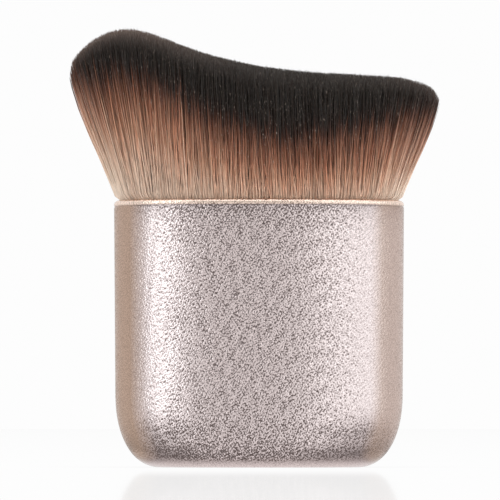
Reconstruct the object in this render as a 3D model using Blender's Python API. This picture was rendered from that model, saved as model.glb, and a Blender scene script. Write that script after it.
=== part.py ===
"""Body makeup brush: a flat oval metal cup that holds a wide, slant-cut knot of soft fibres.

Lengths are in metres and +Z is up. The front faces -Y and the highest fibres are at -X.
The origin is the centre of the flat base.
"""

import math

import bmesh
import bpy
from mathutils import Vector
from mathutils.geometry import tessellate_polygon

# Handle cup, a flat oval drawn from metal
cup_length = 0.0576
cup_depth = 0.0270
cup_height = 0.0528
cup_wall = 0.0012
cup_floor = 0.0015
cup_draft = 0.0004
lip_radius = 0.0008
end_corner_reach = 0.0088
end_corner_rise = 0.0145
face_corner_reach = 0.0030
face_corner_rise = 0.0060

# Roundness of every oval outline: 2 is an ellipse, and more is closer to a rectangle
outline_fullness = 2.6
outline_sides = 60
outer_corner_steps = 7
inner_corner_steps = 4
lip_steps = 3

# Pieces inside the handle, from the floor up
clearance = 0.0003
pad_thickness = 0.0008
ballast_thickness = 0.0060
ballast_skirt = 0.0015
knot_wall = 0.0008
knot_floor = 0.0012
glue_thickness = 0.0010
slice_thickness = 0.0050
root_depth = 0.0068

# Crown of the fibres above the mouth of the cup
crown_length = 0.0734
crown_depth = 0.0340
crown_offset = -0.0010
crown_reach = 0.0342
crown_edge_drop = 0.0045

# Height of the crown across its length: place from the -X end to the +X end, then the
# height above the mouth, both as shares of the crown's half length and of its reach
crown_shares = (
    (-1.00, 0.700),
    (-0.96, 0.850),
    (-0.86, 0.957),
    (-0.71, 1.000),
    (-0.48, 0.947),
    (-0.20, 0.842),
    (0.01, 0.790),
    (0.28, 0.754),
    (0.55, 0.737),
    (0.77, 0.722),
    (0.93, 0.675),
    (1.00, 0.580),
)

# Strands: columns stand side by side across the length, each running from front to back,
# and every other column is shifted by half a pitch
bundle_count = 6
strand_sides = 3
strand_pitch = 0.00176
strand_gap = 0.00025
root_edge = 0.00015
belly_height_share = 0.50
belly_bulge_share = 0.30
belly_width_share = 1.35
tip_width_share = 1.45
slice_edge_steps = 4

smooth_angle = math.radians(35)

# Heights of the stack, from the floor of the cup to the roots of the fibres
pad_bottom = cup_floor + clearance
pad_top = pad_bottom + pad_thickness
core_bottom = pad_top + clearance
ballast_top = core_bottom + ballast_thickness
pocket_top = ballast_top + clearance
root_height = cup_height - root_depth
slice_bottom = root_height - slice_thickness
glue_top = slice_bottom - clearance
glue_bottom = glue_top - glue_thickness
knot_floor_top = glue_bottom - clearance
knot_bottom = knot_floor_top - knot_floor
core_top = knot_bottom - clearance

column_pitch = strand_pitch * math.sqrt(3) / 2
strand_radius = (column_pitch - strand_gap) / 2
tip_radius = strand_radius * tip_width_share


def corner_draw(height, reach, rise):
    """How far an elliptical bottom corner has drawn the wall in at a height."""
    if height >= rise:
        return 0.0
    share = min(1.0, (rise - height) / rise)
    return reach * (1 - math.sqrt(1 - share ** 2))


def cup_outside(height):
    """Half length and half depth of the cup's outside at a height."""
    draft = cup_draft * (1 - height / cup_height)
    half_length = cup_length / 2 - draft - corner_draw(height, end_corner_reach, end_corner_rise)
    half_depth = cup_depth / 2 - draft - corner_draw(height, face_corner_reach, face_corner_rise)
    return half_length, half_depth


def cup_inside(height, gap=0.0):
    """Half sizes of the cup's hollow, or of what stands in it with a gap to wall and floor."""
    half_length, half_depth = cup_outside(height - cup_floor - gap)
    return half_length - cup_wall - gap, half_depth - cup_wall - gap


def shrink(half_sizes, inset):
    """Half sizes drawn in by an inset."""
    return half_sizes[0] - inset, half_sizes[1] - inset


def oval_half_depth(x, half_length, half_depth):
    """Half depth of an oval at a place along its length."""
    share = min(1.0, abs(x) / half_length)
    return half_depth * (1 - share ** outline_fullness) ** (1 / outline_fullness)


def oval_outline(half_length, half_depth):
    """Points round an oval, counter-clockwise from +X."""
    points = []
    for step in range(outline_sides):
        turn = 2 * math.pi * step / outline_sides
        length_share = math.copysign(abs(math.cos(turn)) ** (2 / outline_fullness), math.cos(turn))
        depth_share = math.copysign(abs(math.sin(turn)) ** (2 / outline_fullness), math.sin(turn))
        points.append((half_length * length_share, half_depth * depth_share))
    return points


def smooth_share(table, place):
    """Value at a place on the smooth curve through a table of (place, value) shares."""
    last = len(table) - 1

    def slope(index):
        before = table[max(0, index - 1)]
        after = table[min(last, index + 1)]
        return (after[1] - before[1]) / (after[0] - before[0])

    index = 0
    while index < last - 1 and place > table[index + 1][0]:
        index += 1
    start, end = table[index], table[index + 1]
    span = end[0] - start[0]
    part = (place - start[0]) / span
    return (
        (1 + 2 * part) * (1 - part) ** 2 * start[1]
        + part * (1 - part) ** 2 * span * slope(index)
        + part ** 2 * (3 - 2 * part) * end[1]
        - part ** 2 * (1 - part) * span * slope(index + 1)
    )


def make_material(name, colour, roughness, metallic):
    """A plain Principled material."""
    material = bpy.data.materials.new(name)
    material.use_nodes = True
    shader = material.node_tree.nodes["Principled BSDF"]
    shader.inputs["Base Color"].default_value = (*colour, 1.0)
    shader.inputs["Roughness"].default_value = roughness
    shader.inputs["Metallic"].default_value = metallic
    return material


def finish_object(name, mesh_builder, material):
    """Turn a bmesh into a smooth-shaded object."""
    bmesh.ops.recalc_face_normals(mesh_builder, faces=mesh_builder.faces)
    mesh = bpy.data.meshes.new(name)
    mesh_builder.to_mesh(mesh)
    mesh_builder.free()
    mesh.shade_smooth()
    mesh.set_sharp_from_angle(angle=smooth_angle)
    mesh.materials.append(material)
    thing = bpy.data.objects.new(name, mesh)
    bpy.context.scene.collection.objects.link(thing)
    return thing


def loft(name, levels, material):
    """Closed solid through oval levels of (half length, half depth, height), capped at both ends."""
    builder = bmesh.new()
    loops = []
    for half_length, half_depth, height in levels:
        outline = oval_outline(half_length, half_depth)
        loops.append([builder.verts.new((x, y, height)) for x, y in outline])
    for lower, upper in zip(loops, loops[1:]):
        for side in range(outline_sides):
            after = (side + 1) % outline_sides
            builder.faces.new((lower[side], lower[after], upper[after], upper[side]))
    builder.faces.new(loops[0])
    builder.faces.new(loops[-1])
    return finish_object(name, builder, material)


def corner_heights(rise, steps):
    """Heights up a rounded bottom corner, closest together at its foot."""
    return [rise * (1 - math.cos(math.pi / 2 * step / steps)) for step in range(1, steps + 1)]


def make_handle_cup(material):
    """Drawn metal cup: flat base, rounded corners, straight wall, rounded lip, hollow inside."""
    levels = [(*cup_outside(0.0), 0.0)]
    for height in corner_heights(end_corner_rise, outer_corner_steps):
        levels.append((*cup_outside(height), height))
    for step in range(lip_steps + 1):
        turn = math.pi / 2 * step / lip_steps
        height = cup_height - lip_radius * (1 - math.sin(turn))
        inset = lip_radius * (1 - math.cos(turn))
        levels.append((*shrink(cup_outside(height), inset), height))
    levels.append((*cup_inside(cup_height), cup_height))
    for height in reversed(corner_heights(end_corner_rise, inner_corner_steps)):
        levels.append((*cup_inside(cup_floor + height), cup_floor + height))
    levels.append((*cup_inside(cup_floor), cup_floor))
    return loft("handle_cup", levels, material)


def make_base_pad(material):
    """Flat pad on the floor of the cup."""
    half_sizes = cup_inside(pad_bottom, clearance)
    return loft("base_pad", [(*half_sizes, pad_bottom), (*half_sizes, pad_top)], material)


def make_ballast_plate(material):
    """Steel plate in the pocket of the core, resting on the pad."""
    half_sizes = shrink(cup_inside(core_bottom, clearance), ballast_skirt + clearance)
    return loft("ballast_plate", [(*half_sizes, core_bottom), (*half_sizes, ballast_top)], material)


def make_core_block(material):
    """Block that fills the handle, with a pocket for the ballast in its underside."""
    pocket = shrink(cup_inside(core_bottom, clearance), ballast_skirt)
    levels = [(*pocket, pocket_top), (*pocket, core_bottom)]
    levels.append((*cup_inside(core_bottom, clearance), core_bottom))
    for height in corner_heights(end_corner_rise, inner_corner_steps):
        lifted = cup_floor + clearance + height
        if lifted > core_bottom:
            levels.append((*cup_inside(lifted, clearance), lifted))
    levels.append((*cup_inside(core_top, clearance), core_top))
    return loft("core_block", levels, material)


def knot_inside(height):
    """Half sizes of the knot cup's hollow at a height."""
    return shrink(cup_inside(height, clearance), knot_wall)


def make_knot_cup(material):
    """Thin moulded cup round the fibre roots, filled to its brim."""
    levels = [
        (*cup_inside(knot_bottom, clearance), knot_bottom),
        (*cup_inside(root_height, clearance), root_height),
        (*knot_inside(root_height), root_height),
        (*knot_inside(knot_floor_top), knot_floor_top),
    ]
    return loft("knot_cup", levels, material)


def make_glue_bed(material):
    """Thin bed of glue between the knot cup's floor and the resin slices."""
    half_sizes = shrink(knot_inside(glue_bottom), clearance)
    return loft("glue_bed", [(*half_sizes, glue_bottom), (*half_sizes, glue_top)], material)


# Half sizes of the resin slices, and of the ovals that the strands' centres keep to
slice_half_length, slice_half_depth = shrink(knot_inside(slice_bottom), clearance)
root_half_length, root_half_depth = shrink(
    (slice_half_length, slice_half_depth), strand_radius + root_edge
)
mouth_half_length, mouth_half_depth = shrink(cup_inside(cup_height), strand_radius + clearance)
tip_half_length = crown_length / 2 - tip_radius
tip_half_depth = crown_depth / 2 - tip_radius


def strand_levels(x, y):
    """Centres and radii of one strand at its root, at the mouth, at its belly and at its tip."""
    length_share = x / root_half_length
    local_half_depth = oval_half_depth(x, root_half_length, root_half_depth)
    depth_share = y / local_half_depth if local_half_depth > 0 else 0.0
    mouth_y = depth_share * oval_half_depth(length_share, 1, mouth_half_depth)
    tip_y = depth_share * oval_half_depth(length_share, 1, tip_half_depth)
    edge_drop = crown_edge_drop * (1 - math.sqrt(max(0.0, 1 - depth_share ** 2)))
    tip_height = cup_height + crown_reach * smooth_share(crown_shares, length_share) - edge_drop
    root = Vector((x, y, root_height))
    mouth = Vector((mouth_half_length * length_share, mouth_y, cup_height + clearance))
    tip = Vector((crown_offset + tip_half_length * length_share, tip_y, tip_height))
    spread = belly_height_share * (1 + belly_bulge_share * (1 - belly_height_share))
    belly = mouth.lerp(tip, spread)
    belly.z = mouth.z + (tip.z - mouth.z) * belly_height_share
    radii = (strand_radius, strand_radius, strand_radius * belly_width_share, tip_radius)
    return list(zip((root, mouth, belly, tip), radii))


def slice_outline(low_x, high_x):
    """Outline of a resin slice between two places along the oval, counter-clockwise."""
    start = math.asin(max(-1.0, low_x / slice_half_length))
    end = math.asin(min(1.0, high_x / slice_half_length))
    front = []
    for step in range(slice_edge_steps + 1):
        turn = start + (end - start) * step / slice_edge_steps
        x = slice_half_length * math.sin(turn)
        front.append((x, -oval_half_depth(x, slice_half_length, slice_half_depth)))
    back = [(x, -y) for x, y in reversed(front)]
    if low_x <= -slice_half_length:
        back.pop()
    if high_x >= slice_half_length:
        back.pop(0)
    return front + back


def make_bundle(name, columns, low_x, high_x, first_strand, material):
    """Resin slice with its strands growing out of its top, as one closed solid."""
    builder = bmesh.new()
    outline = slice_outline(low_x, high_x)
    lower = [builder.verts.new((x, y, slice_bottom)) for x, y in outline]
    upper = [builder.verts.new((x, y, root_height)) for x, y in outline]
    builder.faces.new(lower)
    for side in range(len(outline)):
        after = (side + 1) % len(outline)
        builder.faces.new((lower[side], lower[after], upper[after], upper[side]))

    root_rings = []
    strand = first_strand
    for x, places in columns:
        for y in places:
            turn = strand * math.pi * (3 - math.sqrt(5))
            rings = []
            for centre, radius in strand_levels(x, y):
                ring = []
                for side in range(strand_sides):
                    angle = turn + 2 * math.pi * side / strand_sides
                    arm = Vector((math.cos(angle), math.sin(angle), 0.0))
                    ring.append(builder.verts.new(centre + arm * radius))
                rings.append(ring)
            for below, above in zip(rings, rings[1:]):
                for side in range(strand_sides):
                    after = (side + 1) % strand_sides
                    builder.faces.new((below[side], below[after], above[after], above[side]))
            builder.faces.new(rings[-1])
            root_rings.append(rings[0])
            strand += 1

    flat_loops = [upper] + root_rings
    flat_verts = [vert for loop in flat_loops for vert in loop]
    for corners in tessellate_polygon([[vert.co for vert in loop] for loop in flat_loops]):
        builder.faces.new([flat_verts[corner] for corner in corners])
    return finish_object(name, builder, material)


def column_places(x, shifted):
    """Places of the strands in one column, from front to back."""
    half_depth = oval_half_depth(x, root_half_length, root_half_depth)
    places = int(2 * half_depth / strand_pitch) + 1
    if shifted and places > 2:
        places -= 1
    if places == 1:
        return [0.0]
    return [half_depth * (2 * place / (places - 1) - 1) for place in range(places)]


def bundle_columns():
    """Columns of each bundle as (x, [y, ...]), with a wider step from bundle to bundle."""
    bundle_step = clearance + 2 * root_edge - strand_gap
    columns_length = 2 * root_half_length - (bundle_count - 1) * bundle_step
    count = int(columns_length / column_pitch) + 1
    pitch = columns_length / (count - 1)
    bundles = [[] for bundle in range(bundle_count)]
    for column in range(count):
        bundle = column * bundle_count // count
        x = column * pitch + bundle * bundle_step - root_half_length
        bundles[bundle].append((x, column_places(x, column % 2 == 1)))
    return bundles


def make_bundles(material):
    """The knot, filled side by side in bundles."""
    bundles = bundle_columns()
    low_x = -slice_half_length
    strand = 0
    for bundle, columns in enumerate(bundles):
        high_x = slice_half_length
        next_low_x = high_x
        if bundle < bundle_count - 1:
            middle = (columns[-1][0] + bundles[bundle + 1][0][0]) / 2
            high_x = middle - clearance / 2
            next_low_x = middle + clearance / 2
        make_bundle(f"bristle_bundle_{bundle + 1}", columns, low_x, high_x, strand, material)
        low_x = next_low_x
        strand += sum(len(places) for x, places in columns)
    print("strands:", strand)


def main():
    """Clear the scene and build every piece."""
    for thing in list(bpy.data.objects):
        bpy.data.objects.remove(thing, do_unlink=True)

    champagne_metal = make_material("champagne_metal", (0.66, 0.53, 0.46), 0.30, 1.0)
    pad_foam = make_material("pad_foam", (0.10, 0.10, 0.11), 0.90, 0.0)
    ballast_steel = make_material("ballast_steel", (0.50, 0.50, 0.52), 0.45, 1.0)
    core_plastic = make_material("core_plastic", (0.62, 0.60, 0.57), 0.55, 0.0)
    knot_plastic = make_material("knot_plastic", (0.80, 0.76, 0.70), 0.40, 0.0)
    glue_clear = make_material("glue_clear", (0.78, 0.70, 0.52), 0.20, 0.0)
    bristle_fibre = make_material("bristle_fibre", (0.27, 0.14, 0.09), 0.50, 0.0)

    make_handle_cup(champagne_metal)
    make_base_pad(pad_foam)
    make_ballast_plate(ballast_steel)
    make_core_block(core_plastic)
    make_knot_cup(knot_plastic)
    make_glue_bed(glue_clear)
    make_bundles(bristle_fibre)


main()
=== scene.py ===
"""Looks of a body makeup brush: a pebbled champagne cup that holds a wide knot of soft fibres.

Lengths are in metres and +Z is up. The front faces -Y and the highest fibres are at -X.
"""

import math

import bpy
import numpy as np
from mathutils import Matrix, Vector


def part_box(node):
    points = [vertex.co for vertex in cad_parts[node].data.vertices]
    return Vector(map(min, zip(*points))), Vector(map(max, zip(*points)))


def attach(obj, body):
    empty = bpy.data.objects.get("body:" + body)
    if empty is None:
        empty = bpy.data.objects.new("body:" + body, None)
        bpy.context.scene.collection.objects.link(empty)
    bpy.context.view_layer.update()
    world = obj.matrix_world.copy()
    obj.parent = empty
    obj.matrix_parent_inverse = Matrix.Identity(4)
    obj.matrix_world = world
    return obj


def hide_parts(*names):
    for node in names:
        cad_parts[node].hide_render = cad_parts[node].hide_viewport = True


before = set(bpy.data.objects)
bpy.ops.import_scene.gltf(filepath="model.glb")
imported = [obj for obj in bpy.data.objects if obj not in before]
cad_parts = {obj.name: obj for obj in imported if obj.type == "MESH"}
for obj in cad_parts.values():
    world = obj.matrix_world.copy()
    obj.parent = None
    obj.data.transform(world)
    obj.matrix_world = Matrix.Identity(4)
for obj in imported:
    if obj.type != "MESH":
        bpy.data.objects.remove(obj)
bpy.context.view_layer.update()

# Keeps a division from meeting zero
tiny = 1e-12

# Sizes and places that the frame gives
cup_low, cup_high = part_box("handle_cup")
root_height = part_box("knot_cup")[1].z
bundle_names = sorted(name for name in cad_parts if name.startswith("bristle_bundle"))
bundle_boxes = [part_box(name) for name in bundle_names]
crown_low_x = min(low.x for low, high in bundle_boxes)
crown_high_x = max(high.x for low, high in bundle_boxes)
crown_half_depth = max(high.y for low, high in bundle_boxes)
crown_top = max(high.z for low, high in bundle_boxes)
slice_bottom = min(low.z for low, high in bundle_boxes)

# Handle cup
cup_half_length = (cup_high.x - cup_low.x) / 2
cup_half_depth = (cup_high.y - cup_low.y) / 2
cup_height = cup_high.z
cup_wall = 0.0012
cup_floor = 0.0015
cup_draft = 0.0004
lip_radius = 0.0008
inner_lip_radius = 0.0002
end_corner_reach = 0.0088
end_corner_rise = 0.0145
face_corner_reach = 0.0030
face_corner_rise = 0.0060
outline_fullness = 2.6
corner_fullness = 2.2
rim_groove_drop = 0.00115
rim_groove_depth = 0.00011
rim_groove_width = 0.00016

# Skin of the cup: mesh spacing and pebbled grain
skin_sectors = 10
skin_pitch = 0.00011
grain_length = 0.00037
grain_spread = 0.30
grain_waves = 140
grain_height = 0.000025
# How flat the pebbles' tops are, their height and the depth of the pits, as shares
grain_plateau = 1.6
grain_top = 0.6
grain_gain = 1.5
# Shares of the full grain off the wall, and how much of it the groove takes away
foot_grain = 0.1
lip_grain = 0.7
inner_lip_grain = 0.2
groove_grain_loss = 0.6
# Height where the grain starts to grow, and over which it then grows
smooth_foot = 0.0011

# Tones of the skin by its grain and its place, with painted shade in its pits, groove, under lip and above
# foot
tone_middle = 0.6
tone_gain = 0.4
# Warm tint at the cup's ends: partly the metal's tone, partly painted reflection, kept paler on the right as
# painted light
end_tint_start = 0.42
end_tint_full = 0.66
pale_end_warmth = 0.6
painted_shade_depth = 0.26
painted_under_lip_reach = 0.0022
painted_under_lip_share = 0.78
painted_shade_pit_gain = 0.55
painted_corner_pit_gain = 0.45
# Painted shade just above the cup's foot: height, then share
painted_foot_shades = (
    (0.0000, 0.00),
    (0.0007, 0.35),
    (0.0014, 1.00),
    (0.0023, 1.05),
    (0.0032, 0.85),
    (0.0042, 0.50),
    (0.0058, 0.24),
    (0.0074, 0.20),
    (0.0092, 0.08),
    (0.0106, 0.00),
)
# Painted shade above the foot's corners: height, then share
painted_corner_shades = (
    (0.0014, 0.00),
    (0.0023, 0.25),
    (0.0032, 0.38),
    (0.0052, 0.62),
    (0.0062, 0.82),
    (0.0072, 0.72),
    (0.0082, 0.50),
    (0.0092, 0.32),
    (0.0104, 0.16),
    (0.0120, 0.00),
)
# Where that painted shade lies along the cup: share of its half-length, then share
painted_corner_shade_places = (
    (-0.88, 0.00),
    (-0.80, 0.65),
    (-0.64, 1.00),
    (-0.49, 0.85),
    (-0.35, 0.00),
    (0.35, 0.00),
    (0.45, 0.22),
    (0.59, 0.65),
    (0.73, 1.00),
    (0.85, 0.60),
    (0.93, 0.10),
    (1.00, 0.00),
)
# How dark the painted shade in the pits is, less where lamps are mirrored: the surface normal's x, then
# share
painted_pit_shade_shares = (
    (-1.00, 0.30),
    (-0.60, 0.42),
    (-0.36, 0.20),
    (-0.26, 0.42),
    (-0.18, 0.70),
    (-0.10, 1.10),
    (0.02, 1.10),
    (0.10, 0.76),
    (0.19, 0.50),
    (0.28, 0.32),
    (0.42, 0.12),
    (1.00, 0.12),
)

# Rows of the skin's mesh on its foot, its lip and its inside
centre_share = 0.004
foot_rows = 25
lip_rows = 10
inner_lip_rows = 4
inner_wall_rows = 17
inner_corner_rows = 12
inner_floor_rows = 8
inner_wall_drop = 0.002
oval_samples = 20001

# Seeds of the random draws
grain_seed = 11
place_seed = 21
path_seed = 22
colour_seed = 23
clump_seeds = (31, 32)
tone_clump_seed = 33
tone_drift_seed = 34
resin_seed = 41

# Fibres
fibre_pitch = 0.000192
place_jitter = 0.35
kept_length = 0.998
end_crowding = 0.26
fibre_radius = 0.000088
thinnest_share = 0.82
thickest_share = 1.18
root_width_share = 0.9
fibre_sides = 3
root_inset = 0.0014
root_sink = 0.0003
mouth_gap = 0.00012
lip_spill = 0.00100
lip_spill_rise = 0.00035
lip_spill_depth_share = 0.6
belly_bulge_share = 0.10
flank_bulge = 0.43
crown_overhang = 0.00050
crown_edge_drop = 0.0045
tip_scatter = 0.00016
trim_scatter = 0.00015
trim_drop = 0.00020
crossing = 0.00060
stray_share = 0.2
stray_gain = 2.2
edge_power = 8
edge_scatter = 0.3
edge_freedom = 0.08
fibre_bend = 0.00045
fibre_wave = 0.00018
fan_power = 3.0
clump_length = 0.0021
clump_reach = 0.00042
clump_spread = 0.4
clump_waves = 40

# Mouth and crown as half lengths and half depths
mouth_length = cup_half_length - cup_wall - fibre_radius - mouth_gap
mouth_depth = cup_half_depth - cup_wall - fibre_radius - mouth_gap
crown_middle = (crown_high_x + crown_low_x) / 2
crown_length = (crown_high_x - crown_low_x) / 2 + crown_overhang
crown_depth = crown_half_depth + crown_overhang

# Dye of the fibres, whose tone and hue come in a number of kinds
kinds = 96
uv_margin = 0.15
cap_nudge = 0.1
middle_tone = 0.5
single_tone = 0.22
clump_tone = 0.16
tone_clump_length = clump_length * 0.55
tone_clump_spread = 0.5
tone_clump_waves = 40
drift_tone = 0.09
tone_drift_length = clump_length * 4
tone_drift_spread = 0.4
tone_drift_waves = 20
dye_scatter = 0.0014
dye_dip = 0.0080
longest_fibre = 0.042
# Dye pushed paler near the mouth: partly the fibres' own pale roots, partly painted light against the shade
# among them
pale_root_height = 0.0085
pale_root_share = 0.36
pale_root_power = 4
brown_start = 0.28
brown_span = 0.22
# How much shorter the dark dye is along the crown, which at the very ends also paints the backlit edges:
# length share, then share of the dip
dye_dip_shares = (
    (-1.00, 1.15),
    (-0.95, 0.86),
    (-0.90, 0.67),
    (-0.80, 0.54),
    (-0.50, 0.43),
    (-0.25, 0.20),
    (0.00, 0.02),
    (0.20, 0.05),
    (0.45, 0.24),
    (0.65, 0.40),
    (0.80, 0.66),
    (0.92, 0.84),
    (1.00, 0.95),
)
# Painted backlight on the very tips along the crown: length share, then share
tip_light_shares = (
    (-1.00, 0.55),
    (-0.90, 0.80),
    (-0.60, 0.68),
    (-0.30, 0.28),
    (0.00, 0.04),
    (0.50, 0.02),
    (0.80, 0.15),
    (1.00, 0.42),
)
# Painted backlight on the outermost fibres along their whole length: length share, then share
edge_light_shares = (
    (-1.00, 1.00),
    (-0.93, 0.75),
    (-0.84, 0.15),
    (-0.74, 0.00),
    (0.72, 0.00),
    (0.84, 0.35),
    (0.93, 0.95),
    (1.00, 1.10),
)
# Height of the crown along its length: length share, then share of its reach
crown_shares = (
    (-1.000, 0.722),
    (-0.985, 0.808),
    (-0.955, 0.859),
    (-0.923, 0.893),
    (-0.890, 0.924),
    (-0.857, 0.948),
    (-0.800, 0.979),
    (-0.737, 0.997),
    (-0.680, 1.000),
    (-0.629, 0.996),
    (-0.575, 0.981),
    (-0.520, 0.962),
    (-0.460, 0.938),
    (-0.413, 0.917),
    (-0.304, 0.874),
    (-0.200, 0.841),
    (0.010, 0.790),
    (0.280, 0.754),
    (0.550, 0.737),
    (0.770, 0.722),
    (0.880, 0.698),
    (0.940, 0.672),
    (0.972, 0.645),
    (1.000, 0.592),
)
# Rings along a fibre above the mouth: height share, then radius share
ring_shares = (
    (0.00, 1.00),
    (0.04, 1.00),
    (0.30, 1.02),
    (0.52, 1.00),
    (0.74, 0.86),
    (0.91, 0.58),
    (1.00, 0.22),
)

# Resin at the roots
resin_columns = 240
resin_floor_rows = 8
resin_side_rows = 7
resin_top_rows = 60
resin_centre_share = 0.02
resin_ripple_length = 0.0018
resin_ripple_spread = 0.4
resin_ripple_waves = 40
resin_ripple_height = 0.00006
resin_climb = 0.0003
resin_climb_power = 30

# Colours of the metal by its grain's height less the painted shade, on the wall, at the ends and on the lip
wall_stops = (
    (0.18, (0.155, 0.118, 0.112)),
    (0.48, (0.570, 0.476, 0.466)),
    (0.70, (0.870, 0.746, 0.733)),
)
end_stops = (
    (0.10, (0.420, 0.295, 0.228)),
    (0.60, (0.460, 0.328, 0.256)),
)
lip_stops = (
    (0.15, (0.400, 0.300, 0.245)),
    (0.60, (0.880, 0.700, 0.595)),
)

# Noise in the metal's colour, gloss and fine relief, in waves to the metre
fleck_pitch = 5000
fleck_noise = (0.35, 0.65)
fleck_tones = (0.80, 1.16)
drift_pitch = 60
drift_tones = (0.96, 1.04)
gloss_pitch = 1500
metal_roughness = (0.18, 0.27)
fine_pitch = 6000
fine_relief = 0.000006

# Colours along a fibre by its dye's share of the longest fibre, from tip to root
dye_stops = (
    (0.000, (0.027, 0.0210, 0.0170)),
    (0.060, (0.027, 0.0200, 0.0155)),
    (0.130, (0.023, 0.0165, 0.0120)),
    (0.190, (0.025, 0.0160, 0.0115)),
    (0.235, (0.055, 0.0240, 0.0160)),
    (0.295, (0.215, 0.0940, 0.0580)),
    (0.370, (0.440, 0.2100, 0.1320)),
    (0.440, (0.605, 0.3220, 0.2120)),
    (0.530, (0.755, 0.4550, 0.3120)),
    (0.610, (0.880, 0.6050, 0.4550)),
    (0.710, (0.935, 0.7100, 0.5600)),
    (0.860, (0.955, 0.7850, 0.6550)),
)
# How a fibre's tone and its hue colour it
tone_stops = (
    (0.0, (0.46, 0.37, 0.33)),
    (0.5, (0.91, 0.88, 0.86)),
    (1.0, (1.00, 1.00, 1.00)),
)
hue_stops = (
    (0.0, (1.000, 0.83, 0.755)),
    (0.5, (0.960, 0.94, 0.930)),
    (1.0, (0.925, 0.98, 0.975)),
)
# Towards the roots the fibres grow alike: dye share, then how alike
alike_shares = (0.40, 0.75)
alike_range = (0.0, 0.75)
alike_tone = (0.85, 0.81, 0.785)
alike_hue = (0.96, 0.93, 0.915)
# Streaks and pale glints along the fibres, in waves to the metre
streak_apart = 1000
streak_pitch = 420
streak_tones = (0.58, 1.42)
glint_pitch = 1300
glint_noise = (0.62, 0.74)
glint_range = (0.0, 0.46)
glint_colour = (0.62, 0.50, 0.42)
edge_backlight_colour = (0.020, 0.058, 0.064)
tip_backlight_colour = (0.130, 0.088, 0.073)
fibre_roughness = (0.34, 0.52)

# Camera
camera_distance = 0.960
camera_height = 0.010
camera_aim = (-0.00179, 0.0, 0.0431)
camera_lens = 348.0
camera_sensor = 36.0
camera_nearest = 0.01
camera_farthest = 20.0

# Surroundings: the metal mirrors them dimmer in front of the brush, where Y of a ray is low
background_white = 0.982
dim_front = 0.65
dim_front_rays = (-0.60, -0.05)
ambient = 0.66

# Floor: each fade is its start, its end and its least share, the mirror's in metres from the
# middle and the rest in half sizes of the cup
floor_reach = 3.0
floor_drop = 0.00002
floor_grain_pitch = 400
floor_greys = (0.66, 0.70)
floor_roughness = 0.04
floor_ior = 1.5
floor_mirror = 0.19
floor_mirror_fade = (0.03, 0.17, 0.0)
floor_seen_fade = (1.0, 1.8, 0.93)
# Right round the foot the floor glows white to mirrors: a painted glow that the cup's foot reflects
floor_glow_rim_fade = (1.07, 1.01, 0.0)
floor_far_glossy_fade = (1.2, 2.9, 0.06)
foot_scale = (1 / cup_half_length, 1 / cup_half_depth, 0)

# Lamps: name, azimuth, elevation, width, height, brightness, colour and whether metal mirrors them
lamp_distance = 0.7
lamps = (
    ("key_left", -38, 19, 0.265, 0.60, 1.63, (0.89, 1.0, 1.03), True),
    ("fill_right", 41, 19, 0.76, 0.62, 0.77, (0.91, 1.0, 1.02), True),
    ("side_left", -82, 15, 0.5, 0.7, 2.2, (1.0, 1.0, 0.97), False),
    ("side_right", 78, 20, 0.5, 0.7, 3.0, (0.94, 1.0, 1.06), False),
    ("overhead", 0, 80, 0.9, 0.9, 0.9, (1.0, 1.0, 1.0), True),
)


def power_mean_oval(share):
    """Half depth of the unit oval at a length share."""
    inside = np.clip(1 - np.abs(share) ** outline_fullness, 0, 1)
    return inside ** (1 / outline_fullness)


def smooth_curve(table, places):
    """Values at many places on the smooth curve through a table of (place, value) shares."""
    xs = np.array([place for place, value in table])
    ys = np.array([value for place, value in table])
    slopes = np.empty(len(xs))
    slopes[1:-1] = (ys[2:] - ys[:-2]) / (xs[2:] - xs[:-2])
    slopes[0] = (ys[1] - ys[0]) / (xs[1] - xs[0])
    slopes[-1] = (ys[-1] - ys[-2]) / (xs[-1] - xs[-2])
    index = np.clip(np.searchsorted(xs, places) - 1, 0, len(xs) - 2)
    span = xs[index + 1] - xs[index]
    part = (places - xs[index]) / span
    return (
        (1 + 2 * part) * (1 - part) ** 2 * ys[index]
        + part * (1 - part) ** 2 * span * slopes[index]
        + part ** 2 * (3 - 2 * part) * ys[index + 1]
        - part ** 2 * (1 - part) * span * slopes[index + 1]
    )


def interpolated(table, places):
    """Straight lines through a table's rows of place and share."""
    rows = np.array(table)
    return np.interp(places, rows[:, 0], rows[:, 1])


def wave_field(points, length, spread, waves, seed):
    """Smooth random field of unit strength with waves of about one length, at 2-D or 3-D points."""
    rng = np.random.default_rng(seed)
    directions = rng.normal(size=(waves, points.shape[-1]))
    directions /= np.linalg.norm(directions, axis=1)[:, None]
    lengths = length * np.exp(rng.normal(0, spread, waves))
    phases = rng.uniform(0, 2 * math.pi, waves)
    total = np.zeros(points.shape[:-1], np.float32)
    for direction, wave_length, phase in zip(directions, lengths, phases):
        turns = points @ (direction * 2 * math.pi / wave_length).astype(np.float32)
        total += np.cos(turns + phase)
    return total * math.sqrt(2 / waves)


def new_mesh(name, vertices, faces, face_size):
    """Mesh from a vertex array and a face array of one face size."""
    mesh = bpy.data.meshes.new(name)
    mesh.vertices.add(len(vertices))
    mesh.vertices.foreach_set("co", vertices.astype(np.float32).ravel())
    corners = faces.astype(np.int32).ravel()
    mesh.loops.add(len(corners))
    mesh.loops.foreach_set("vertex_index", corners)
    mesh.polygons.add(len(corners) // face_size)
    starts = np.arange(0, len(corners), face_size, dtype=np.int32)
    mesh.polygons.foreach_set("loop_start", starts)
    mesh.update(calc_edges=True)
    mesh.shade_smooth()
    return mesh


def add_uv(mesh, corner_uv):
    """UV map that the colours are laid out on."""
    layer = mesh.uv_layers.new(name="OFBake")
    layer.uv.foreach_set("vector", corner_uv.astype(np.float32).ravel())


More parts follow.
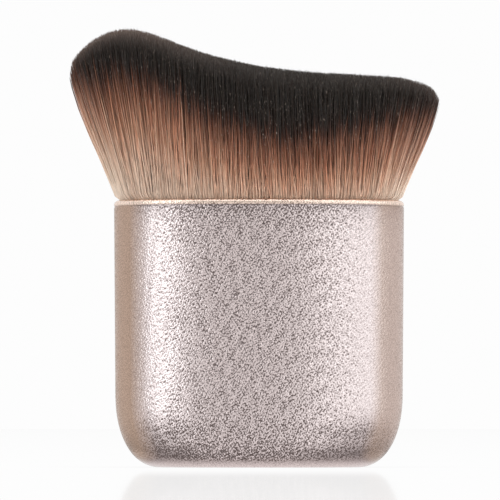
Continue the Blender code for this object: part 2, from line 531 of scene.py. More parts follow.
def add_value(mesh, name, values):
    """One number at every vertex, for a material to read."""
    attribute = mesh.attributes.new(name, "FLOAT", "POINT")
    attribute.data.foreach_set("value", values.astype(np.float32).ravel())


def add_piece(name, mesh, material, replaced):
    """Object that rides on the brush's one body and stands for CAD nodes."""
    mesh.materials.append(material)
    piece = bpy.data.objects.new(name, mesh)
    bpy.context.scene.collection.objects.link(piece)
    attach(piece, "root")
    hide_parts(*replaced)


def add_node(tree, kind, inputs=None, **settings):
    """Shader node with its settings, whose inputs are values or other nodes' outputs."""
    node = tree.nodes.new(kind)
    for name, value in settings.items():
        setattr(node, name, value)
    for name, value in (inputs or {}).items():
        if isinstance(value, bpy.types.NodeSocket):
            tree.links.new(value, node.inputs[name])
        else:
            node.inputs[name].default_value = value
    return node


def add_maths(tree, operation, first, second):
    """Result of one operation on two values or outputs."""
    return add_node(tree, "ShaderNodeMath", {0: first, 1: second}, operation=operation).outputs[0]


def add_map(tree, value, given, wanted, **settings):
    """A value mapped from one (low, high) range to another and held inside it."""
    inputs = {
        "Value": value,
        "From Min": given[0],
        "From Max": given[1],
        "To Min": wanted[0],
        "To Max": wanted[1],
    }
    return add_node(tree, "ShaderNodeMapRange", inputs, **settings).outputs[0]


def add_range(tree, value, low, high):
    """A value from 0 to 1 spread from low to high."""
    return add_map(tree, value, (0.0, 1.0), (low, high))


def add_attribute(tree, name):
    """A number that the mesh holds at every vertex."""
    return add_node(tree, "ShaderNodeAttribute", attribute_name=name).outputs["Fac"]


def add_vector_maths(tree, operation, first, second, third=(0.0, 0.0, 0.0)):
    """Result of one operation on vectors or colours."""
    inputs = {0: first, 1: second, 2: third}
    return add_node(tree, "ShaderNodeVectorMath", inputs, operation=operation).outputs[0]


def add_ramp(tree, value, stops):
    """Colour ramp through (place, colour) stops."""
    ramp = add_node(tree, "ShaderNodeValToRGB", {"Fac": value})
    elements = ramp.color_ramp.elements
    while len(elements) < len(stops):
        elements.new(0.5)
    for element, (place, colour) in zip(elements, stops):
        element.position = place
        element.color = (*colour, 1.0)
    return ramp.outputs["Color"]


def add_mix(tree, factor, first, second, blend_type="MIX"):
    """Mix of two colours."""
    node = add_node(tree, "ShaderNodeMix", data_type="RGBA", blend_type=blend_type)
    for index, value in ((0, factor), (6, first), (7, second)):
        if isinstance(value, bpy.types.NodeSocket):
            tree.links.new(value, node.inputs[index])
        elif index == 0:
            node.inputs[index].default_value = value
        else:
            node.inputs[index].default_value = (*value, 1.0)
    return node.outputs[2]


def add_noise(tree, scale, detail):
    """Noise in the object's own metres."""
    place = add_node(tree, "ShaderNodeTexCoord").outputs["Object"]
    inputs = {"Vector": place, "Scale": scale, "Detail": detail}
    return add_node(tree, "ShaderNodeTexNoise", inputs).outputs["Fac"]


def add_bump(tree, height, distance):
    """Bump of a real height in metres."""
    inputs = {"Height": height, "Distance": distance}
    return add_node(tree, "ShaderNodeBump", inputs).outputs["Normal"]


def new_material(name, **uniform):
    """Principled material with uniform numbers on its own sockets."""
    material = bpy.data.materials.new(name)
    material.use_nodes = True
    tree = material.node_tree
    shader = tree.nodes["Principled BSDF"]
    for socket, value in uniform.items():
        shader.inputs[socket.replace("_", " ")].default_value = value
    return material, tree, shader


def pebbled_metal():
    """Champagne metal: pale on its pebbles, with painted shade between them and in the shaded zones, and
    warmer at the cup's ends, partly as painted reflection.
    """
    material, tree, shader = new_material("champagne_pebble", Metallic=1.0)
    height = add_attribute(tree, "grain")
    wall = add_ramp(tree, height, wall_stops)
    ends = add_ramp(tree, height, end_stops)
    rim = add_ramp(tree, height, lip_stops)
    base = add_mix(tree, add_attribute(tree, "warmth"), wall, ends)
    base = add_mix(tree, add_attribute(tree, "lip"), base, rim)
    flecks = add_map(tree, add_noise(tree, fleck_pitch, 1), fleck_noise, fleck_tones)
    drift = add_range(tree, add_noise(tree, drift_pitch, 2), *drift_tones)
    tone = add_maths(tree, "MULTIPLY", flecks, drift)
    toned = add_vector_maths(tree, "MULTIPLY", base, tone)
    roughness = add_range(tree, add_noise(tree, gloss_pitch, 3), *metal_roughness)
    normal = add_bump(tree, add_noise(tree, fine_pitch, 2), fine_relief)
    tree.links.new(toned, shader.inputs["Base Color"])
    tree.links.new(roughness, shader.inputs["Roughness"])
    tree.links.new(normal, shader.inputs["Normal"])
    return material


def add_streaks(tree, strand, distance, pitch):
    """Noise along each kind of strand, with so many waves to the metre."""
    along = add_maths(tree, "MULTIPLY", distance, pitch)
    place = add_node(tree, "ShaderNodeCombineXYZ", {"X": strand, "Y": along}).outputs[0]
    inputs = {"Vector": place, "Scale": 1.0, "Detail": 2.0}
    return add_node(tree, "ShaderNodeTexNoise", inputs).outputs["Fac"]


def dyed_fibre():
    """Fibre that is pale at its root, reddish brown along its length and near-black at its tip, with painted
    backlight at the knot's edges and tips.
    """
    material, tree, shader = new_material(
        "dyed_fibre", Specular_IOR_Level=0.2, Sheen_Weight=0.10, Sheen_Roughness=0.4
    )
    distance = add_attribute(tree, "dye_distance")
    tone = add_attribute(tree, "fibre_tone")
    share = add_maths(tree, "DIVIDE", distance, longest_fibre)
    base = add_ramp(tree, share, dye_stops)
    alike = add_map(tree, share, alike_shares, alike_range)
    shade = add_mix(tree, alike, add_ramp(tree, tone, tone_stops), alike_tone)
    hue = add_ramp(tree, add_attribute(tree, "fibre_hue"), hue_stops)
    hue = add_mix(tree, alike, hue, alike_hue)
    toned = add_mix(tree, 1.0, base, add_mix(tree, 1.0, shade, hue, "MULTIPLY"), "MULTIPLY")
    strand = add_maths(tree, "MULTIPLY", tone, streak_apart)
    streaks = add_range(tree, add_streaks(tree, strand, distance, streak_pitch), *streak_tones)
    toned = add_vector_maths(tree, "MULTIPLY", toned, streaks)
    glint = add_map(tree, add_streaks(tree, strand, distance, glint_pitch), glint_noise, glint_range)
    toned = add_mix(tree, glint, toned, glint_colour)
    # Painted backlight through the knot's thin outer edges
    edge_light = add_attribute(tree, "edge_light")
    toned = add_vector_maths(tree, "MULTIPLY_ADD", edge_light, edge_backlight_colour, toned)
    # Painted backlight on the very tips
    tip_light = add_attribute(tree, "tip_light")
    toned = add_vector_maths(tree, "MULTIPLY_ADD", tip_light, tip_backlight_colour, toned)
    tree.links.new(toned, shader.inputs["Base Color"])
    tree.links.new(add_range(tree, tone, *fibre_roughness), shader.inputs["Roughness"])
    return material


def mottled(name, low, high, grain, roughness, bump, **uniform):
    """Moulded or cast surface: two close tones, varied roughness and a fine bump."""
    material, tree, shader = new_material(name, **uniform)
    noise = add_noise(tree, grain, 4)
    tree.links.new(add_ramp(tree, noise, ((0.3, low), (0.7, high))), shader.inputs["Base Color"])
    tree.links.new(add_range(tree, noise, *roughness), shader.inputs["Roughness"])
    tree.links.new(add_bump(tree, add_noise(tree, grain * 3, 3), bump), shader.inputs["Normal"])
    return material


def corner_draw(height, reach, rise):
    """How far an elliptical bottom corner has drawn the wall in at a height."""
    share = min(1.0, max(0.0, (rise - height) / rise))
    return reach * (1 - (1 - share ** corner_fullness) ** (1 / corner_fullness))


def cup_outside(height):
    """Half length and half depth of the cup's outside at a height."""
    draft = cup_draft * (1 - height / cup_height)
    half_length = cup_half_length - draft - corner_draw(height, end_corner_reach, end_corner_rise)
    half_depth = cup_half_depth - draft - corner_draw(height, face_corner_reach, face_corner_rise)
    return half_length, half_depth


def cup_levels():
    """Profile of the cup as rows of (half length, half depth, height, grain share)."""
    return outer_levels() + lip_levels() + inner_levels()


def outer_levels():
    """Rows of the cup's outside, from the middle of its foot to the underside of its lip."""
    rows = []
    foot = cup_outside(0.0)
    for share in np.linspace(centre_share, 1, foot_rows + 1)[:-1]:
        rows.append((foot[0] * share, foot[1] * share, 0.0, foot_grain))
    corner_rows = round(math.pi / 2 * (end_corner_reach + end_corner_rise) / 2 / skin_pitch)
    for step in range(corner_rows):
        height = end_corner_rise * (1 - math.cos(math.pi / 2 * step / corner_rows))
        grain_share = min(1.0, max(foot_grain, (height - smooth_foot) / smooth_foot))
        rows.append((*cup_outside(height), height, grain_share))
    lip_foot = cup_height - lip_radius
    wall_rows = round((lip_foot - end_corner_rise) / skin_pitch)
    for step in range(wall_rows):
        height = end_corner_rise + (lip_foot - end_corner_rise) * step / wall_rows
        drop = (height - (cup_height - rim_groove_drop)) / rim_groove_width
        groove_share = math.exp(-drop ** 2)
        groove = rim_groove_depth * groove_share
        half_length, half_depth = cup_outside(height)
        grain_share = 1.0 - groove_grain_loss * groove_share
        rows.append((half_length - groove, half_depth - groove, height, grain_share))
    return rows


def lip_levels():
    """Rows over the cup's rounded lip and its inner edge."""
    rows = []
    for step in range(lip_rows + 1):
        turn = math.pi / 2 * step / lip_rows
        height = cup_height - lip_radius * (1 - math.sin(turn))
        inset = lip_radius * (1 - math.cos(turn))
        half_length, half_depth = cup_outside(height)
        rows.append((half_length - inset, half_depth - inset, height, lip_grain))
    half_length, half_depth = cup_outside(cup_height)
    for step in range(inner_lip_rows + 1):
        turn = math.pi / 2 * step / inner_lip_rows
        inset = cup_wall - inner_lip_radius * (1 - math.sin(turn))
        height = cup_height - inner_lip_radius * (1 - math.cos(turn))
        rows.append((half_length - inset, half_depth - inset, height, inner_lip_grain))
    return rows


def inner_levels():
    """Rows of the cup's smooth inside, from just below the lip to the middle of its floor."""
    rows = []
    top = cup_height - inner_wall_drop
    for step in range(inner_wall_rows + 1):
        height = top - (top - end_corner_rise) * step / inner_wall_rows
        half_length, half_depth = cup_outside(height - cup_floor)
        rows.append((half_length - cup_wall, half_depth - cup_wall, height, 0.0))
    for step in range(1, inner_corner_rows + 1):
        rise = end_corner_rise * (1 - math.sin(math.pi / 2 * step / inner_corner_rows))
        half_length, half_depth = cup_outside(rise)
        if rise + cup_floor < rows[-1][2]:
            rows.append((half_length - cup_wall, half_depth - cup_wall, rise + cup_floor, 0.0))
    half_length, half_depth = rows[-1][:2]
    for share in np.linspace(1, centre_share, inner_floor_rows + 1)[1:]:
        rows.append((half_length * share, half_depth * share, cup_floor, 0.0))
    return rows


def oval_turns(half_length, half_depth, count):
    """Turns round an oval that space points evenly along it, and the oval's length."""
    turns = np.linspace(0, 2 * math.pi, oval_samples)
    x, y = oval_points(half_length, half_depth, turns)
    along = np.concatenate(([0], np.cumsum(np.hypot(np.diff(x), np.diff(y)))))
    return np.interp(np.linspace(0, along[-1], count + 1)[:-1], along, turns), along[-1]


def oval_points(half_length, half_depth, turns):
    """Points of an oval at turns."""
    power = 2 / outline_fullness
    cos = np.cos(turns)
    sin = np.sin(turns)
    x = half_length * np.sign(cos) * np.abs(cos) ** power
    y = half_depth * np.sign(sin) * np.abs(sin) ** power
    return x, y


def grid_normals(points):
    """Normals of a grid of rows and closed columns."""
    across = np.roll(points, -1, axis=1) - np.roll(points, 1, axis=1)
    up = np.gradient(points, axis=0)
    normals = np.cross(across, up)
    lengths = np.linalg.norm(normals, axis=2)[..., None]
    return normals / np.maximum(lengths, tiny)


def skin_tones(points, smooth):
    """How warm the skin is, its painted shade and the painted shade of its pits, and where its lip is."""
    # Warm tint at the ends, partly painted reflection; the right end is capped paler as painted light
    warmth = (np.abs(smooth[..., 0]) - end_tint_start) / (end_tint_full - end_tint_start)
    warmth = np.clip(warmth, 0, np.where(smooth[..., 0] > 0, pale_end_warmth, 1))
    # Painted shade in the pits between the pebbles, paler where lamps are mirrored
    painted_pit_shade = interpolated(painted_pit_shade_shares, smooth[..., 0])
    heights = points[..., 2]
    above_groove = heights - cup_height + rim_groove_drop
    lip = np.clip(above_groove / rim_groove_width, 0, 1)
    # Painted shade in the groove below the lip
    groove = np.exp(-(above_groove / rim_groove_width) ** 2)
    # Painted shade under the lip, which fades downwards
    painted_under_lip_shade = np.exp(above_groove / painted_under_lip_reach) * (lip == 0)
    # Painted shade above the foot, and more of it above the foot's corners
    corner_place = interpolated(painted_corner_shade_places, points[..., 0] / cup_half_length)
    painted_corner_shade = interpolated(painted_corner_shades, heights) * corner_place
    painted_foot_shade = interpolated(painted_foot_shades, heights) + painted_corner_shade
    painted_pit_shade = painted_pit_shade * (1 + painted_shade_pit_gain * np.maximum(painted_under_lip_shade, painted_foot_shade))
    painted_pit_shade = painted_pit_shade + painted_corner_pit_gain * painted_corner_shade
    # All painted shade: under the lip, above the foot and its corners, and in the groove
    shade = painted_shade_depth * (painted_under_lip_shade * painted_under_lip_share + painted_foot_shade + groove)
    return warmth, painted_pit_shade, shade, lip


def smooth_skin(rows, columns):
    """Points of the cup's surface without its grain, a ring of them for each row."""
    turns = oval_turns(cup_half_length, cup_half_depth, columns)[0]
    x, y = oval_points(1.0, 1.0, turns)
    points = np.empty((len(rows), columns, 3), np.float32)
    points[..., 0] = rows[:, 0:1] * x
    points[..., 1] = rows[:, 1:2] * y
    points[..., 2] = rows[:, 2:3]
    return points


def skin_grain(points):
    """Height share of the grain at every point: pebbles with level tops, and pits between them."""
    field = wave_field(points, grain_length, grain_spread, grain_waves, grain_seed)
    return grain_top - np.logaddexp(0, -grain_plateau * field) / grain_plateau * grain_gain


def shares_along(rows):
    """How far along the profile each row lies, from 0 to 1."""
    steps = np.linalg.norm(np.diff(rows[:, :3], axis=0), axis=1)
    along = np.concatenate(([0], np.cumsum(np.maximum(steps, skin_pitch / 2))))
    return along / along[-1]


def make_skin(material):
    """The cup's surface, inside and out, in sectors with the pebbled grain in their mesh."""
    rows = np.array(cup_levels())
    perimeter = oval_turns(cup_half_length, cup_half_depth, 1)[1]
    per_sector = round(perimeter / skin_pitch / skin_sectors)
    columns = per_sector * skin_sectors
    points = smooth_skin(rows, columns)
    smooth = grid_normals(points)
    warmth, painted_pit_shade, shade, lip = skin_tones(points, smooth)
    grain = skin_grain(points) * rows[:, 3:4]
    points = points + smooth * (grain * grain_height)[..., None]
    points[..., 2] = np.maximum(points[..., 2], 0.0)
    normals = grid_normals(points)
    along = shares_along(rows)
    values = {
        # Grain tone, with painted shade in the pits and in the shaded zones
        "grain": tone_middle + grain * painted_pit_shade * tone_gain - shade,
        "warmth": warmth,
        "lip": lip,
    }
    for sector in range(skin_sectors):
        picked = (np.arange(per_sector + 1) + sector * per_sector) % columns
        own_values = {attribute: value[:, picked] for attribute, value in values.items()}
        name = f"handle_cup_skin_{sector + 1}"
        make_skin_piece(name, material, points[:, picked], normals[:, picked], own_values, along)


def make_skin_piece(name, material, points, normals, values, along):
    """One sector of the cup's skin."""
    vertices = points.reshape(-1, 3)
    index = np.arange(len(vertices)).reshape(points.shape[:2])
    faces = np.stack((index[:-1, :-1], index[:-1, 1:], index[1:, 1:], index[1:, :-1]), axis=-1)
    mesh = new_mesh(name, vertices, faces, 4)
    u = np.broadcast_to(np.linspace(0, 1, index.shape[1]), index.shape).ravel()
    v = np.repeat(along, index.shape[1])
    add_uv(mesh, np.stack((u, v), axis=1)[faces.ravel()])
    for attribute, value in values.items():
        add_value(mesh, attribute, value)
    mesh.normals_split_custom_set_from_vertices(normals.reshape(-1, 3).tolist())
    add_piece(name, mesh, material, ["handle_cup"])


def fibre_places():
    """Length and depth shares of every fibre, on a jittered staggered grid."""
    rng = np.random.default_rng(place_seed)
    row_pitch = fibre_pitch * math.sqrt(3) / 2
    x, y = np.meshgrid(
        np.arange(-mouth_length, mouth_length, fibre_pitch),
        np.arange(-mouth_depth, mouth_depth, row_pitch),
    )
    x = x + (np.arange(len(x)) % 2)[:, None] * fibre_pitch / 2
    x = (x + rng.uniform(-place_jitter, place_jitter, x.shape) * fibre_pitch).ravel()
    x = x * (1 + end_crowding - end_crowding * (x / mouth_length) ** 2)
    y = (y + rng.uniform(-place_jitter, place_jitter, y.shape) * fibre_pitch).ravel()
    u = x / mouth_length
    local = mouth_depth * power_mean_oval(u)
    kept = (np.abs(u) < kept_length) & (np.abs(y) < local)
    return u[kept], (y / np.maximum(local, tiny))[kept]


def fibre_tips(rng, u, w, mouth, inside):
    """Where every fibre ends on the crown, also as shares of the crown's length and depth."""
    count = len(u)
    tip_share = np.stack((u * fan_shares(u), w), axis=1)
    flat = mouth[:, :2].astype(np.float32)
    for axis, half_size in enumerate((crown_length, crown_depth)):
        clump = wave_field(flat, clump_length, clump_spread, clump_waves, clump_seeds[axis])
        stray = 1 + stray_gain * (rng.random(count) < stray_share)
        scatter = rng.normal(0, tip_scatter, count)
        scatter *= edge_scatter + (1 - edge_scatter) * inside[:, axis]
        scatter += rng.normal(0, crossing, count) * stray * inside[:, axis] ** 2
        tip_share[:, axis] += (clump * clump_reach * inside[:, axis] + scatter) / half_size
    tip_share = np.clip(tip_share, -1, 1)
    tip_oval = power_mean_oval(tip_share[:, 0])
    edge_drop = crown_edge_drop * tip_oval * (1 - np.sqrt(1 - tip_share[:, 1] ** 2))
    reach = (crown_top - cup_height) * smooth_curve(crown_shares, tip_share[:, 0])
    tip_height = cup_height + reach - edge_drop
    tip_height += rng.normal(-trim_drop, trim_scatter, count)
    tip_x = crown_middle + tip_share[:, 0] * crown_length
    tip = np.stack((tip_x, tip_share[:, 1] * tip_oval * crown_depth, tip_height), axis=1)
    return tip, tip_share


def fan_shares(u):
    """Factor from a place in the mouth to the tip's place: upright in the middle, fanned at the ends."""
    upright = mouth_length / crown_length
    return upright + (1 - upright) * np.abs(u) ** fan_power


def fibre_paths(u, w):
    """Centres and radii of each fibre's rings, from its root to its tip."""
    rng = np.random.default_rng(path_seed)
    count = len(u)
    mouth_y = w * power_mean_oval(u) * mouth_depth
    mouth = np.stack((u * mouth_length, mouth_y, np.full(count, cup_height)), axis=1)
    inside = 1 - np.abs(np.stack((u, w), axis=1)) ** edge_power
    tip, tip_share = fibre_tips(rng, u, w, mouth, inside)
    root = mouth.copy()
    root[:, :2] *= (1 - root_inset / mouth_length, 1 - root_inset / mouth_depth)
    root[:, 2] = root_height - root_sink
    freedom = edge_freedom + (1 - edge_freedom) * inside
    bend = rng.normal(0, fibre_bend, (count, 2)) * freedom
    wave = rng.normal(0, fibre_wave, (count, 2)) * freedom
    width = rng.uniform(thinnest_share, thickest_share, count) * fibre_radius
    outward = np.stack((u, w * lip_spill_depth_share), axis=1)
    outward /= np.maximum(1, np.linalg.norm(outward, axis=1))[:, None]
    centres = [root]
    radii = [width * root_width_share]
    for height_share, radius_share in ring_shares:
        centre = ring_centres(height_share, u, mouth, tip, outward)
        centre[:, :2] += bend * math.sin(math.pi * height_share)
        centre[:, :2] += wave * math.sin(2 * math.pi * height_share)
        centres.append(centre)
        radii.append(width * radius_share)
    return np.stack(centres, axis=1), np.stack(radii, axis=1), tip_share


def ring_centres(height_share, u, mouth, tip, outward):
    """Centre of every fibre's ring at a share of its height, before the fibre's own bends."""
    spread = height_share * (1 + belly_bulge_share * (1 - height_share))
    flank = flank_bulge * u ** 4 * height_share ** 2 * (1 - height_share)
    centre = mouth + (tip - mouth) * (spread + flank)[:, None]
    centre[:, 2] = cup_height + (tip[:, 2] - cup_height) * height_share
    rise = (centre[:, 2] - cup_height) / lip_spill_rise
    spill = lip_spill * (1 - np.exp(-rise)) * (1 - height_share) ** 3
    centre[:, :2] += outward ** 3 * spill[:, None]
    return centre


def fibre_faces(count, rings):
    """Triangles of every fibre's sides and two ends, and the ring and side of each corner."""
    faces = []
    corners = []
    for ring in range(rings - 1):
        for side in range(fibre_sides):
            after = (side + 1) % fibre_sides
            below = ring * fibre_sides
            above = below + fibre_sides
            faces.append((below + side, below + after, above + after))
            faces.append((below + side, above + after, above + side))
            corners.append(((ring, side), (ring, side + 1), (ring + 1, side + 1)))
            corners.append(((ring, side), (ring + 1, side + 1), (ring + 1, side)))
    last = (rings - 1) * fibre_sides
    faces += [(2, 1, 0), (last, last + 1, last + 2)]
    corners.append(((0, 2), (cap_nudge, 1), (0, 0)))
    corners.append(((rings - 1, 0), (rings - 1 - cap_nudge, 1), (rings - 1, 2)))
    faces = np.array(faces)
    starts = np.arange(count)[:, None, None] * rings * fibre_sides
    return (faces[None] + starts).reshape(-1, 3), np.array(corners, float)


def fibre_kinds(rng, flat):
    """Kind of every fibre, from a tone that clumps and drifts across the knot."""
    clump = wave_field(flat, tone_clump_length, tone_clump_spread, tone_clump_waves, tone_clump_seed)
    drift = wave_field(flat, tone_drift_length, tone_drift_spread, tone_drift_waves, tone_drift_seed)
    tone = middle_tone + clump_tone * clump + drift_tone * drift
    tone = tone + rng.normal(0, single_tone, len(flat))
    return np.clip(np.round(tone * kinds), 0, kinds - 1).astype(int)


def make_fibres(material):
    """The knot, a bundle's front half and back half at a time."""
    rng = np.random.default_rng(colour_seed)
    u, w = fibre_places()
    centres, radii, tip_share = fibre_paths(u, w)
    kind = fibre_kinds(rng, centres[:, 1, :2].astype(np.float32))
    shift_of_kind = rng.normal(0, dye_scatter, kinds)
    hue_of_kind = rng.uniform(0, 1, kinds)
    tip = centres[:, -1:, :]
    dip = dye_dip * smooth_curve(dye_dip_shares, tip_share[:, 0])
    # Painted backlight on the tips and on the outermost fibres
    tip_light = (1 - tip_share[:, 1] ** 4) * smooth_curve(tip_light_shares, tip_share[:, 0])
    edge_light = smooth_curve(edge_light_shares, tip_share[:, 0])
    distance = np.linalg.norm(centres - tip, axis=2) + dip[:, None]
    distance = np.clip(distance, 0, longest_fibre)
    turns = rng.uniform(0, 2 * math.pi, len(u))
    bundles = len(bundle_names)
    bundle = np.clip(((u + 1) / 2 * bundles).astype(int), 0, bundles - 1)
    for number, name in enumerate(bundle_names):
        for half, side in (("front", w < 0), ("back", w >= 0)):
            picked = np.flatnonzero((bundle == number) & side)
            make_fibre_piece(
                f"{name}_{half}", name, material, centres[picked], radii[picked],
                turns[picked], kind[picked], distance[picked], tip_light[picked],
                edge_light[picked], shift_of_kind, hue_of_kind,
            )


def fibre_uv(corners, distance, kind):
    """Places on the UV map: a strip for every kind, with the distance from the tip along it."""
    ring_place = corners[..., 0].ravel()
    side_place = corners[..., 1].ravel()
    lower = np.floor(ring_place).astype(int)
    upper = np.minimum(lower + 1, distance.shape[1] - 1)
    part = ring_place - lower
    along = distance[:, lower] * (1 - part) + distance[:, upper] * part
    side_share = uv_margin + (1 - 2 * uv_margin) * side_place[None] / fibre_sides
    across = (kind[:, None] + side_share) / kinds
    return np.stack((across, along / longest_fibre), axis=-1).reshape(-1, 2)


def make_fibre_piece(
    name, node, material, centres, radii, turns, kind, distance, tip_light, edge_light,
    shift_of_kind, hue_of_kind,
):
    """One mesh of fibres, coloured by the fibre's kind and the distance from its tip."""
    count, rings = radii.shape
    sides = turns[:, None] + np.arange(fibre_sides) * 2 * math.pi / fibre_sides
    arms = np.stack((np.cos(sides), np.sin(sides), np.zeros_like(sides)), axis=-1)
    vertices = centres[:, :, None, :] + radii[:, :, None, None] * arms[:, None]
    faces, corners = fibre_faces(count, rings)
    mesh = new_mesh(name, vertices.reshape(-1, 3), faces, 3)
    add_uv(mesh, fibre_uv(corners, distance, kind))
    dye = distance + shift_of_kind[kind][:, None]
    # Paler dye near the mouth, partly painted light against the shade among the roots
    near_root = np.clip(1 - (centres[..., 2] - cup_height) / pale_root_height, 0, 1)
    dye = dye + (longest_fibre - dye) * near_root ** pale_root_power * pale_root_share
    add_value(mesh, "dye_distance", np.repeat(dye, fibre_sides, axis=1))
    light = np.zeros((count, rings, fibre_sides))
    light[:, -1] = tip_light[:, None]
    add_value(mesh, "tip_light", light)
    # Painted backlight on the outermost fibres, only where their dye is brown
    brown = np.clip((dye / longest_fibre - brown_start) / brown_span, 0, 1)
    add_value(mesh, "edge_light", np.repeat(brown * edge_light[:, None], fibre_sides, axis=1))
    add_value(mesh, "fibre_tone", np.repeat(kind / (kinds - 1), rings * fibre_sides))
    add_value(mesh, "fibre_hue", np.repeat(hue_of_kind[kind], rings * fibre_sides))
    add_piece(name, mesh, material, [node])


def make_resin(material):
    """Hardened resin that holds the roots, with a wavy top that climbs its edge a little."""
    half_length = cup_half_length - cup_wall - root_inset
    half_depth = cup_half_depth - cup_wall - root_inset
    turns = oval_turns(half_length, half_depth, resin_columns)[0]
    x, y = oval_points(1.0, 1.0, turns)
    floor_shares = np.linspace(resin_centre_share, 1, resin_floor_rows)
    side_heights = np.linspace(slice_bottom, root_height, resin_side_rows)[1:-1]
    top_shares = np.linspace(1, resin_centre_share, resin_top_rows)
    rows = [(share, slice_bottom) for share in floor_shares]
    rows += [(1.0, height) for height in side_heights]
    rows += [(share, root_height) for share in top_shares]
    rows = np.array(rows)
    points = np.empty((len(rows), resin_columns, 3), np.float32)
    points[..., 0] = rows[:, 0:1] * half_length * x
    points[..., 1] = rows[:, 0:1] * half_depth * y
    points[..., 2] = rows[:, 1:2]
    top = (rows[:, 1:2] >= root_height) * np.ones(resin_columns)
    flat = points[..., :2].copy()
    ripple = wave_field(flat, resin_ripple_length, resin_ripple_spread, resin_ripple_waves, resin_seed)
    climb = resin_climb * rows[:, 0:1] ** resin_climb_power
    points[..., 2] += top * (ripple * resin_ripple_height + climb - root_sink)
    index = np.arange(len(rows) * resin_columns).reshape(len(rows), resin_columns)
    after = np.roll(index, -1, axis=1)
    faces = np.stack((index[:-1], after[:-1], after[1:], index[1:]), axis=-1)
    mesh = new_mesh("root_resin", points.reshape(-1, 3), faces, 4)
    add_piece("root_resin", mesh, material, bundle_names)


def dress_inner_nodes():
    """Materials of the CAD pieces that stay: the core, knot cup, glue, ballast and pad."""
    looks = {
        "core_block": mottled(
            "core_moulding", (0.58, 0.56, 0.53), (0.66, 0.64, 0.61), 700, (0.45, 0.62), 0.00002
        ),
        "knot_cup": mottled(
            "knot_moulding", (0.76, 0.72, 0.66), (0.84, 0.80, 0.74), 500, (0.32, 0.46), 0.00001
        ),
        "glue_bed": mottled(
            "glue_resin", (0.72, 0.64, 0.46), (0.82, 0.74, 0.56), 300, (0.12, 0.28), 0.00003
        ),
        "ballast_plate": mottled(
            "ballast_steel", (0.44, 0.44, 0.46), (0.54, 0.54, 0.56), 900, (0.35, 0.55), 0.00001, Metallic=1.0
        ),
        "base_pad": mottled(
            "pad_foam", (0.08, 0.08, 0.09), (0.13, 0.13, 0.14), 2500, (0.82, 0.95), 0.00005
        ),
    }
    for node, material in looks.items():
        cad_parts[node].material_slots[0].material = material


def direction(azimuth, elevation):
    """Unit vector from the brush: azimuth 0 is the camera's side, and more is to the right."""
    turn = math.radians(azimuth)
    rise = math.radians(elevation)
    return Vector((math.sin(turn) * math.cos(rise), -math.cos(turn) * math.cos(rise), math.sin(rise)))


def softbox(name, azimuth, elevation, width, height, radiance, colour, mirrored):
    """Rectangular lamp that faces the brush and has a set brightness."""
    data = bpy.data.lights.new(name, "AREA")
    data.shape = "RECTANGLE"
    data.size = width
    data.size_y = height
    data.energy = radiance * math.pi * width * height
    data.color = colour
    lamp = bpy.data.objects.new(name, data)
    bpy.context.scene.collection.objects.link(lamp)
    middle = Vector((0, 0, cup_height / 2))
    way = direction(azimuth, elevation)
    lamp.location = middle + way * lamp_distance
    lamp.rotation_euler = way.to_track_quat("Z", "Y").to_euler()
    lamp.visible_camera = False
    lamp.visible_glossy = mirrored


def make_lights():
    """Soft lamps on both sides of the camera, two that light matte surfaces only, and one above."""
    for lamp in lamps:
        softbox(*lamp)


def make_world():
    """White surroundings, dimmer where metal mirrors the front, and a softer ambient light."""
    world = bpy.data.worlds.new("studio")
    bpy.context.scene.world = world
    world.use_nodes = True
    tree = world.node_tree
    tree.nodes.clear()
    path = add_node(tree, "ShaderNodeLightPath")
    way = add_node(tree, "ShaderNodeTexCoord").outputs["Generated"]
    back = add_node(tree, "ShaderNodeSeparateXYZ", {0: way}).outputs["Y"]
    mirrored_range = (dim_front, background_white)
    mirrored = add_map(tree, back, dim_front_rays, mirrored_range, interpolation_type="SMOOTHSTEP")
    seen = add_maths(tree, "MAXIMUM", path.outputs["Is Camera Ray"], path.outputs["Is Transmission Ray"])
    strength = add_range(tree, seen, ambient, background_white)
    inputs = {0: path.outputs["Is Glossy Ray"], 2: strength, 3: mirrored}
    strength = add_node(tree, "ShaderNodeMix", inputs, data_type="FLOAT").outputs[0]
    background = add_node(tree, "ShaderNodeBackground", {"Color": (1, 1, 1, 1), "Strength": strength})
    output = add_node(tree, "ShaderNodeOutputWorld")
    tree.links.new(background.outputs[0], output.inputs["Surface"])


def add_fade(tree, distance, start, end, least):
    """A share that rises smoothly from its least to 1 between two distances."""
    return add_map(tree, distance, (start, end), (least, 1.0), interpolation_type="SMOOTHSTEP")


def floor_whiteness(tree, path, place):
    """How far the floor is lost in the white surroundings for each kind of ray, with a painted glow round
    the foot that only mirrors see.
    """
    oval = add_vector_maths(tree, "MULTIPLY", place, foot_scale)
    round_foot = add_node(tree, "ShaderNodeVectorMath", {0: oval}, operation="LENGTH").outputs["Value"]
    camera_fade = add_fade(tree, round_foot, *floor_seen_fade)
    glow_rim = add_fade(tree, round_foot, *floor_glow_rim_fade)
    glossy_far = add_fade(tree, round_foot, *floor_far_glossy_fade)
    glossy_fade = add_maths(tree, "MAXIMUM", glossy_far, glow_rim)
    bounced = add_maths(tree, "MAXIMUM", path.outputs["Is Glossy Ray"], path.outputs["Is Transmission Ray"])
    seen = add_maths(tree, "MULTIPLY", path.outputs["Is Camera Ray"], camera_fade)
    return add_maths(tree, "ADD", seen, add_maths(tree, "MULTIPLY", bounced, glossy_fade))


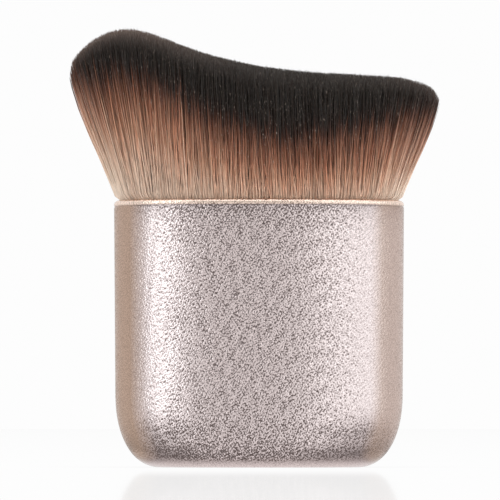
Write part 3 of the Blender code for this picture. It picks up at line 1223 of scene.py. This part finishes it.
def floor_polish(tree, path, place):
    """How strongly the floor mirrors, with a share of its own for the camera."""
    far = add_node(tree, "ShaderNodeVectorMath", {0: place}, operation="LENGTH").outputs["Value"]
    fresnel = add_node(tree, "ShaderNodeFresnel", {"IOR": floor_ior}).outputs[0]
    mirror_fade = add_fade(tree, far, *floor_mirror_fade)
    mirror_share = add_maths(tree, "MULTIPLY", floor_mirror, mirror_fade)
    inputs = {0: path.outputs["Is Camera Ray"], 2: fresnel, 3: mirror_share}
    return add_node(tree, "ShaderNodeMix", inputs, data_type="FLOAT").outputs[0]


def floor_material():
    """Pale matte floor with a faint mirror image, which fades to the white surroundings."""
    material = bpy.data.materials.new("floor_white")
    material.use_nodes = True
    tree = material.node_tree
    tree.nodes.clear()
    path = add_node(tree, "ShaderNodeLightPath")
    place = add_node(tree, "ShaderNodeTexCoord").outputs["Object"]
    grain = add_range(tree, add_noise(tree, floor_grain_pitch, 3), *floor_greys)
    colour = add_node(tree, "ShaderNodeCombineColor", {"Red": grain, "Green": grain, "Blue": grain})
    matte = add_node(tree, "ShaderNodeBsdfDiffuse", {"Color": colour.outputs[0]})
    inputs = {"Color": (1, 1, 1, 1), "Roughness": floor_roughness}
    mirror = add_node(tree, "ShaderNodeBsdfGlossy", inputs)
    white = add_node(tree, "ShaderNodeEmission", {"Color": (1, 1, 1, 1), "Strength": background_white})
    paled = floor_whiteness(tree, path, place)
    pale = add_node(tree, "ShaderNodeMixShader", {0: paled, 1: matte.outputs[0], 2: white.outputs[0]})
    polish = floor_polish(tree, path, place)
    mixed = add_node(tree, "ShaderNodeMixShader", {0: polish, 1: pale.outputs[0], 2: mirror.outputs[0]})
    output = add_node(tree, "ShaderNodeOutputMaterial")
    tree.links.new(mixed.outputs[0], output.inputs["Surface"])
    return material


def make_floor():
    """Square of floor, a hair below the brush."""
    mesh = bpy.data.meshes.new("floor")
    signs = ((-1, -1), (1, -1), (1, 1), (-1, 1))
    corners = [(x * floor_reach, y * floor_reach, 0) for x, y in signs]
    mesh.from_pydata(corners, [], [(0, 1, 2, 3)])
    floor = bpy.data.objects.new("floor", mesh)
    bpy.context.scene.collection.objects.link(floor)
    floor.location.z = -floor_drop
    mesh.materials.append(floor_material())


def make_camera():
    """Camera in front of the brush, low and far away."""
    data = bpy.data.cameras.new("camera")
    data.lens = camera_lens
    data.sensor_width = camera_sensor
    data.clip_start = camera_nearest
    data.clip_end = camera_farthest
    camera = bpy.data.objects.new("camera", data)
    bpy.context.scene.collection.objects.link(camera)
    camera.location = (camera_aim[0], -camera_distance, camera_height)
    aim = Vector(camera_aim) - camera.location
    camera.rotation_euler = aim.to_track_quat("-Z", "Y").to_euler()
    bpy.context.scene.camera = camera


bpy.context.scene.view_settings.view_transform = "Standard"
make_camera()
make_world()
make_lights()
make_floor()
make_skin(pebbled_metal())
make_fibres(dyed_fibre())
make_resin(mottled("root_resin", (0.60, 0.50, 0.34), (0.74, 0.64, 0.46), 600, (0.15, 0.35), 0.00003))
dress_inner_nodes()
